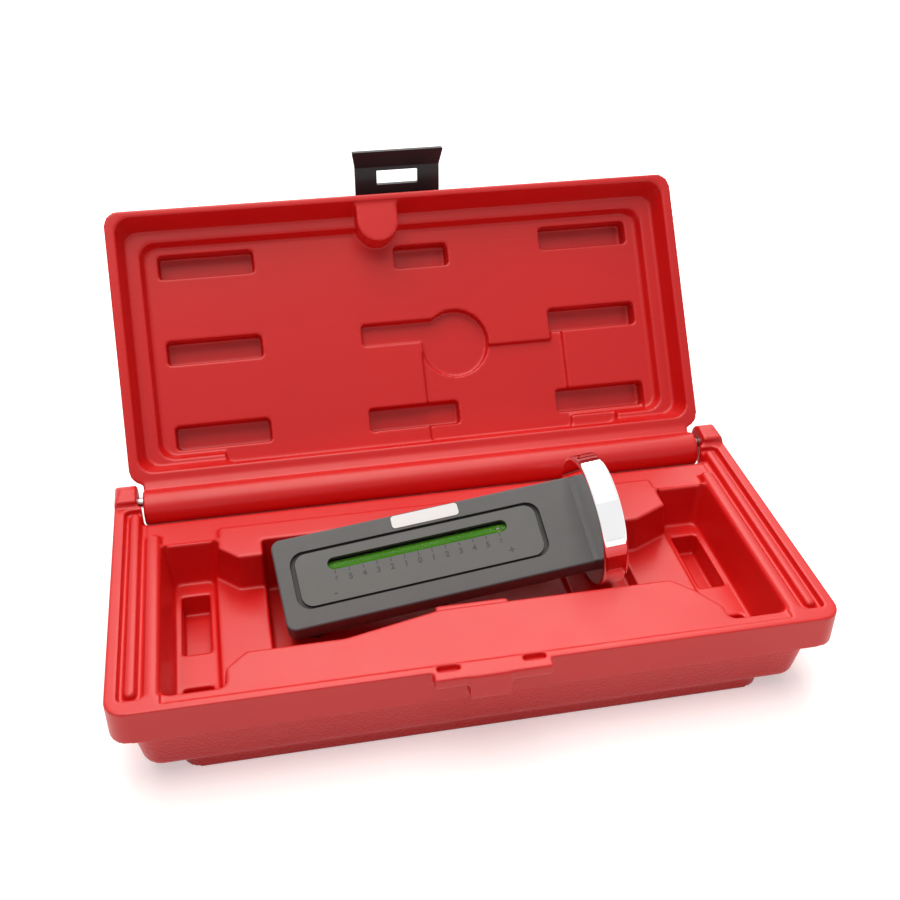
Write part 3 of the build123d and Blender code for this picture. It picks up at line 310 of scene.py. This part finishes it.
def outer_shell(node):
    """A copy of a node's mesh with only its largest closed surface."""
    bm = bmesh.new()
    bm.from_mesh(NODES[node].data)
    bmesh.ops.remove_doubles(bm, verts=bm.verts, dist=SAME_POINT)
    seen, groups = set(), []
    for face in bm.faces:
        if face in seen:
            continue
        group, stack = [], [face]
        seen.add(face)
        while stack:
            here = stack.pop()
            group.append(here)
            for edge in here.edges:
                for other in edge.link_faces:
                    if other not in seen:
                        seen.add(other)
                        stack.append(other)
        groups.append(group)
    keep = set(max(groups, key=lambda group: sum(face.calc_area() for face in group)))
    bmesh.ops.delete(bm, geom=[face for face in bm.faces if face not in keep], context="FACES")
    return bm


def softened(name, node, body):
    """Remeshes the outside of a moulding and relaxes its edges."""
    obj = mesh_object(name, outer_shell(node))
    remesh = obj.modifiers.new("voxels", "REMESH")
    remesh.mode = "VOXEL"
    remesh.voxel_size = VOXEL
    smooth = obj.modifiers.new("relax", "SMOOTH")
    smooth.factor = RELAX_FACTOR
    smooth.iterations = RELAX_ROUNDS
    depsgraph = bpy.context.evaluated_depsgraph_get()
    done = bpy.data.meshes.new_from_object(obj.evaluated_get(depsgraph))
    obj.modifiers.clear()
    obj.data = done
    for poly in done.polygons:
        poly.use_smooth = True
    put(RED, obj)
    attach(obj, body)
    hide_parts(node)


softened("tray", "case_base", "case")
softened("lid_shell", "case_lid", "lid")


# scale markings

PANEL_TOP = 3.1 * MM
INK_LIFT = 0.02 * MM
ZERO_X = -62.3 * MM
STEP = 5.08 * MM
LAST_MARK = 6
TICK_HALF = 0.2 * MM
TICK_LOW, TICK_HIGH = 0.2 * MM, 1.75 * MM
ZERO_LOW, ZERO_HIGH = -0.3 * MM, 1.8 * MM
TEXT_HALF_THICK = 0.01 * MM
TEXT_BOLD = 0.1 * MM
NUMBER_Y = -1.9 * MM
NUMBER_SIZE = 3.0 * MM
SIGN_SIZE = 4.0 * MM
MINUS_X, MINUS_Y = -94.2 * MM, -6.7 * MM
PLUS_X, PLUS_Y = -29.0 * MM, -5.9 * MM


def inked(obj, place):
    """Lays a marking on the gauge, in the gauge's own frame."""
    obj.matrix_world = GAUGE @ place
    put(INK, obj)
    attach(obj, "gauge")


def ticks():
    bm = bmesh.new()
    for mark in range(-LAST_MARK, LAST_MARK + 1):
        x = ZERO_X + mark * STEP
        low, high = (TICK_LOW, TICK_HIGH) if mark else (ZERO_LOW, ZERO_HIGH)
        rectangle(bm, (x - TICK_HALF, low), (x + TICK_HALF, high), PANEL_TOP + INK_LIFT)
    inked(mesh_object("scale_ticks", bm), Matrix.Identity(4))


def label(name, text, x, y, size):
    curve = bpy.data.curves.new(name, "FONT")
    curve.body = text
    curve.size = size
    curve.align_x = "CENTER"
    curve.align_y = "CENTER"
    curve.extrude = TEXT_HALF_THICK
    curve.offset = TEXT_BOLD
    inked(add_object(name, curve), Matrix.Translation((x, y, PANEL_TOP + INK_LIFT)))


ticks()
for mark in range(-LAST_MARK, LAST_MARK + 1):
    label("number_%d" % (mark + LAST_MARK), str(abs(mark)), ZERO_X + mark * STEP, NUMBER_Y, NUMBER_SIZE)
label("minus_mark", "-", MINUS_X, MINUS_Y, SIGN_SIZE)
label("plus_mark", "+", PLUS_X, PLUS_Y, SIGN_SIZE)


# the bubble as it shows through the vial's top: a darker middle inside a painted highlight, a bright ring
# that stands in for light gathered at the bubble's curved edge

BUBBLE_MIDDLE = Vector((-31.05, 4.2, -1.95)) * MM
LIQUID_R = 2.5 * MM
LENS_SEGMENTS = 48
LENS_RINGS = 24


def bubble_lens(name, mat, half_length, radius, proud):
    """An egg that stands a little proud of the liquid's top and rides with the bubble."""
    bm = bmesh.new()
    bmesh.ops.create_uvsphere(bm, u_segments=LENS_SEGMENTS, v_segments=LENS_RINGS, radius=1.0)
    for face in bm.faces:
        face.smooth = True
    obj = mesh_object(name, bm)
    lift = Vector((0, 0, LIQUID_R + proud - radius))
    obj.matrix_world = (GAUGE @ Matrix.Translation(BUBBLE_MIDDLE + lift)
                        @ Matrix.Diagonal((half_length, radius, radius, 1.0)))
    put(mat, obj)
    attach(obj, "bubble")


# the bright ring is a painted highlight round the bubble's darker middle
bubble_lens("bubble_edge_painted_highlight", PAINTED_BUBBLE_HIGHLIGHT, half_length=2.6 * MM, radius=1.9 * MM, proud=0.10 * MM)
bubble_lens("bubble_middle", BUBBLE, half_length=2.1 * MM, radius=1.5 * MM, proud=0.16 * MM)


# the camera, solved from the case's edges in the photo

CAMERA_PLACE = (-0.06863, -0.32252, 0.30751)
CAMERA_YAW = math.radians(11.415)
CAMERA_PITCH = math.radians(33.988)
CAMERA_ROLL = math.radians(0.359)
CAMERA_LENS_MM = 47.38
CAMERA_SENSOR_MM = 36.0
CAMERA_NEAR = 0.01


def camera():
    level = math.cos(CAMERA_PITCH)
    ahead = Vector((math.sin(CAMERA_YAW) * level, math.cos(CAMERA_YAW) * level, -math.sin(CAMERA_PITCH)))
    flat_right = Vector((math.cos(CAMERA_YAW), -math.sin(CAMERA_YAW), 0))
    flat_up = flat_right.cross(ahead)
    right = flat_right * math.cos(CAMERA_ROLL) + flat_up * math.sin(CAMERA_ROLL)
    up = flat_up * math.cos(CAMERA_ROLL) - flat_right * math.sin(CAMERA_ROLL)
    data = bpy.data.cameras.new("camera")
    data.lens = CAMERA_LENS_MM
    data.sensor_width = CAMERA_SENSOR_MM
    data.clip_start = CAMERA_NEAR
    obj = add_object("camera", data)
    obj.matrix_world = Matrix.Translation(CAMERA_PLACE) @ Matrix((right, up, -ahead)).transposed().to_4x4()
    bpy.context.scene.camera = obj


# lamps, world and floor

LAMP_COLOUR = (1.0, 0.95, 0.89)
FILL_COLOUR = (0.97, 0.98, 1.0, 1)
FILL_STRENGTH = 0.25
WHITE = (1, 1, 1, 1)
FLOOR_HALF = 4.0
FLOOR_Z = -0.1 * MM
FLOOR_COLOUR = (0.9, 0.9, 0.9, 1)
FLOOR_ROUGH = 0.8
FLOOR_GLOW = 0.42


def area_light(name, place, target, size, watts):
    data = bpy.data.lights.new(name, "AREA")
    data.size = size
    data.energy = watts
    data.color = LAMP_COLOUR
    obj = add_object(name, data)
    aim = (Vector(target) - Vector(place)).to_track_quat("-Z", "Y")
    obj.matrix_world = Matrix.Translation(place) @ aim.to_matrix().to_4x4()


def seen_or_mirrored(tree):
    """1 for rays that show the background: camera, glossy and transmission."""
    path = tree.nodes.new("ShaderNodeLightPath").outputs
    seen = shader_math(tree, "MAXIMUM", path["Is Camera Ray"], path["Is Glossy Ray"])
    return shader_math(tree, "MAXIMUM", seen, path["Is Transmission Ray"])


def mixed(tree, hidden, shown):
    """Shows one shader to the rays that show the background, and the other to the rest."""
    node = tree.nodes.new("ShaderNodeMixShader")
    tree.links.new(seen_or_mirrored(tree), node.inputs["Fac"])
    tree.links.new(hidden, node.inputs[1])
    tree.links.new(shown, node.inputs[2])
    return node.outputs[0]


def background(tree, colour, strength):
    node = tree.nodes.new("ShaderNodeBackground")
    node.inputs["Color"].default_value = colour
    node.inputs["Strength"].default_value = strength
    return node.outputs[0]


def world():
    made = bpy.data.worlds.new("studio")
    made.use_nodes = True
    tree = made.node_tree
    tree.nodes.clear()
    out = tree.nodes.new("ShaderNodeOutputWorld")
    both = mixed(tree, background(tree, FILL_COLOUR, FILL_STRENGTH), background(tree, WHITE, 1.0))
    tree.links.new(both, out.inputs["Surface"])
    bpy.context.scene.world = made


def floor():
    bm = bmesh.new()
    rectangle(bm, (-FLOOR_HALF, -FLOOR_HALF), (FLOOR_HALF, FLOOR_HALF), FLOOR_Z)
    obj = mesh_object("floor", bm)
    mat, tree, bsdf = new_material("floor_white")
    bsdf.inputs["Base Color"].default_value = FLOOR_COLOUR
    bsdf.inputs["Roughness"].default_value = FLOOR_ROUGH
    glow = tree.nodes.new("ShaderNodeEmission")
    glow.inputs["Strength"].default_value = FLOOR_GLOW
    lit = tree.nodes.new("ShaderNodeAddShader")
    tree.links.new(bsdf.outputs[0], lit.inputs[0])
    tree.links.new(glow.outputs[0], lit.inputs[1])
    both = mixed(tree, bsdf.outputs[0], lit.outputs[0])
    tree.links.new(both, tree.nodes["Material Output"].inputs["Surface"])
    put(mat, obj)


camera()
world()
floor()
area_light("top", place=(-0.2, 0.0, 1.5), target=(0, 0, 0.03), size=1.4, watts=22.0)
area_light("back", place=(0.15, 0.85, 0.95), target=(0, -0.02, 0.03), size=0.9, watts=9.0)

scene = bpy.context.scene
scene.view_settings.view_transform = "Standard"
